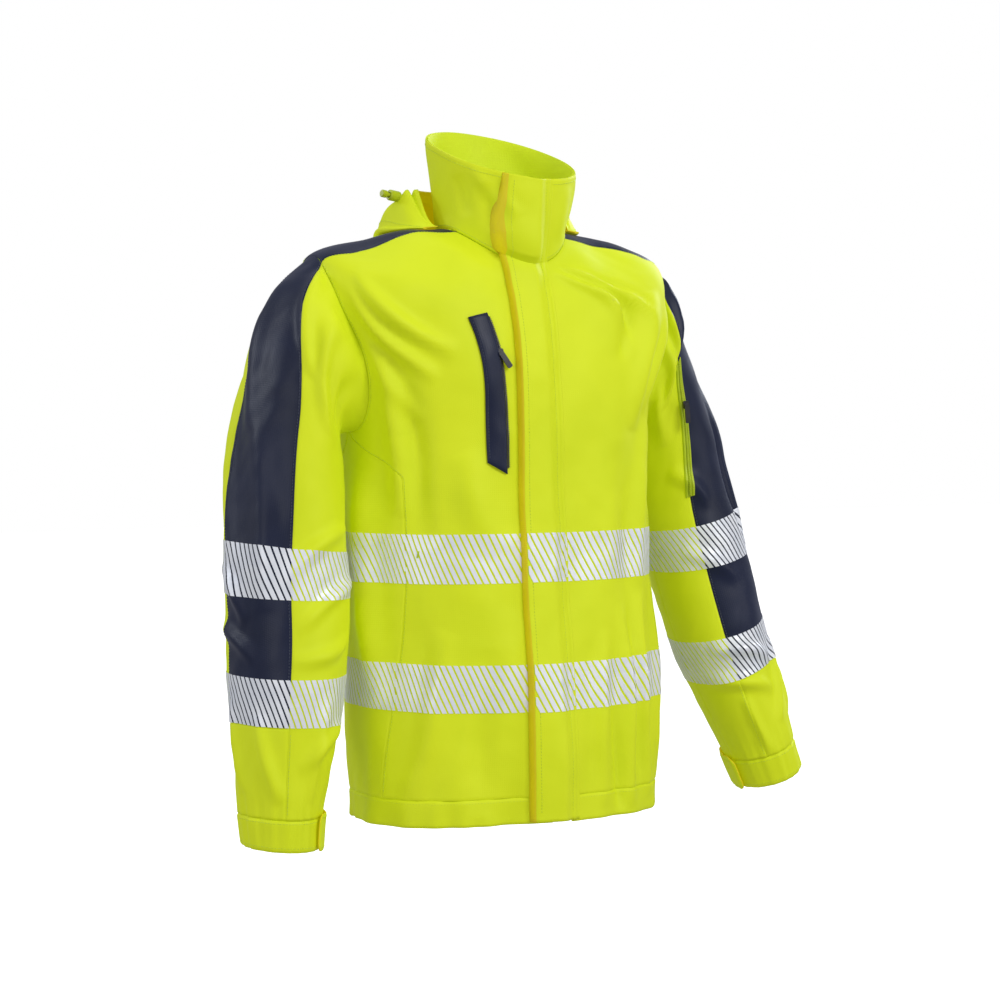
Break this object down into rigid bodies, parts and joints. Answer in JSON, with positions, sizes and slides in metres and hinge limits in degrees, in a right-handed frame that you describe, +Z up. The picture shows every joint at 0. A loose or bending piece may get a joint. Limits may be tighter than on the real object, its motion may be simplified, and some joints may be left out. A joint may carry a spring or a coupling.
{
  "type": "foul weather jacket",
  "caption": "Hooded softshell work jacket in fluorescent yellow and navy with segmented reflective bands, high collar, storm flap, zip pockets and cuff tabs.",
  "frame": {"origin": "middle of the hanger loop inside the back of the neck", "axes": "+X towards the wearer's left, -Y the front, +Z up along the hung garment"},
  "size_m": [0.7161, 0.2772, 0.7777],
  "materials": {
    "yellow_shell": "fluorescent yellow laminated softshell, matt with a faint sheen",
    "navy_shell": "navy softshell, matt with a lilac sheen",
    "lining": "light yellow lining cloth",
    "reflective_tape": "silver retroreflective transfer in slanting strips",
    "zip_yellow": "yellow coil zip and tape",
    "cord_lock": "moulded yellow-green plastic, satin",
    "black_plastic": "black moulded plastic, satin"
  },
  "bodies": {
    "root": {"front_panel_right": "yellow_shell", "front_panel_left": "yellow_shell", "side_panel_right": "yellow_shell", "side_panel_left": "yellow_shell", "back_panel": "yellow_shell", "hem_band": "yellow_shell", "collar_outer": "yellow_shell", "hood_folded": "yellow_shell", "sleeve_front_right": "yellow_shell", "sleeve_front_left": "yellow_shell", "sleeve_back_right": "yellow_shell", "sleeve_back_left": "yellow_shell", "shoulder_yoke_right": "navy_shell", "shoulder_yoke_left": "navy_shell", "sleeve_outer_right": "navy_shell", "sleeve_outer_left": "navy_shell", "elbow_fold_right": "navy_shell", "elbow_fold_left": "navy_shell", "chest_pocket_welt": "navy_shell", "hanger_loop": "navy_shell", "collar_lining": "lining", "chest_pocket_bag": "lining", "tape_upper_front_right": "reflective_tape", "tape_upper_front_left": "reflective_tape", "tape_upper_back": "reflective_tape", "tape_upper_sleeve_right": "reflective_tape", "tape_upper_sleeve_left": "reflective_tape", "tape_lower_front_right": "reflective_tape", "tape_lower_front_left": "reflective_tape", "tape_lower_back": "reflective_tape", "main_zip_tape_right": "zip_yellow", "main_zip_tape_left": "zip_yellow", "main_zip_chain": "zip_yellow", "sleeve_pocket_welt": "zip_yellow", "cord_lock_barrel": "cord_lock", "chest_zip_chain": "black_plastic"},
    "storm_flap": {"storm_flap": "yellow_shell", "tape_upper_flap": "reflective_tape", "tape_lower_flap": "reflective_tape"},
    "main_zip_slider": {"main_zip_slider": "black_plastic", "main_zip_pull": "black_plastic"},
    "chest_zip_slider": {"chest_zip_slider": "black_plastic"},
    "chest_zip_pull": {"chest_zip_pull": "black_plastic"},
    "sleeve_zip_slider": {"sleeve_zip_slider": "black_plastic"},
    "sleeve_zip_pull": {"sleeve_zip_pull": "black_plastic"},
    "forearm_right": {"forearm_front_right": "yellow_shell", "forearm_back_right": "yellow_shell", "tape_lower_sleeve_right": "reflective_tape", "cuff_band_right": "yellow_shell"},
    "forearm_left": {"forearm_front_left": "yellow_shell", "forearm_back_left": "yellow_shell", "tape_lower_sleeve_left": "reflective_tape", "cuff_band_left": "yellow_shell"},
    "cuff_tab_right": {"cuff_tab_right": "yellow_shell"},
    "cuff_tab_left": {"cuff_tab_left": "yellow_shell"},
    "cord_lock_button": {"cord_lock_button": "cord_lock"}
  },
  "joints": [
    {"name": "storm_flap_open", "type": "hinge", "parent": "root", "child": "storm_flap", "pos_m": [0.019, -0.17595, -0.3], "axis": [0, 0.0753, 0.9972], "range_deg": [0, 110]},
    {"name": "main_zip_slide", "type": "slide", "parent": "root", "child": "main_zip_slider", "axis": [0, 0.1444, -0.9895], "range_m": [0, 0.06]},
    {"name": "chest_zip_slide", "type": "slide", "parent": "root", "child": "chest_zip_slider", "axis": [0.0503, -0.1161, -0.992], "range_m": [-0.018, 0.1]},
    {"name": "chest_zip_pull_swing", "type": "hinge", "parent": "chest_zip_slider", "child": "chest_zip_pull", "pos_m": [-0.05631, -0.15614, -0.14279], "axis": [-0.8336, 0.0395, -0.5509], "range_deg": [0, 80]},
    {"name": "sleeve_zip_slide", "type": "slide", "parent": "root", "child": "sleeve_zip_slider", "axis": [0.1159, 0.0437, -0.9923], "range_m": [-0.036, 0.09]},
    {"name": "sleeve_zip_pull_swing", "type": "hinge", "parent": "sleeve_zip_slider", "child": "sleeve_zip_pull", "pos_m": [0.22504, -0.0936, -0.2007], "axis": [-0.9899, 0.0878, -0.1117], "range_deg": [0, 80]},
    {"name": "elbow_right_bend", "type": "hinge", "parent": "root", "child": "forearm_right", "pos_m": [-0.259, -0.048, -0.449], "axis": [-0.9998, 0, 0.0174], "range_deg": [0, 45], "deforming": ["elbow_fold_right"]},
    {"name": "elbow_left_bend", "type": "hinge", "parent": "root", "child": "forearm_left", "pos_m": [0.29, -0.038, -0.425], "axis": [-0.9613, 0, -0.2756], "range_deg": [0, 45], "deforming": ["elbow_fold_left"]},
    {"name": "cuff_tab_right_open", "type": "hinge", "parent": "forearm_right", "child": "cuff_tab_right", "pos_m": [-0.23556, -0.06335, -0.65078], "axis": [0.1831, 0.1409, 0.9729], "range_deg": [0, 60]},
    {"name": "cuff_tab_left_open", "type": "hinge", "parent": "forearm_left", "child": "cuff_tab_left", "pos_m": [0.32468, -0.03244, -0.62385], "axis": [0.3491, -0.2352, -0.9071], "range_deg": [0, 60]},
    {"name": "cord_lock_press", "type": "slide", "parent": "root", "child": "cord_lock_button", "axis": [0.97, 0.2086, -0.1252], "range_m": [0, 0.0035], "stiffness_N_per_m": 300, "springref_m": -0.003}
  ]
}
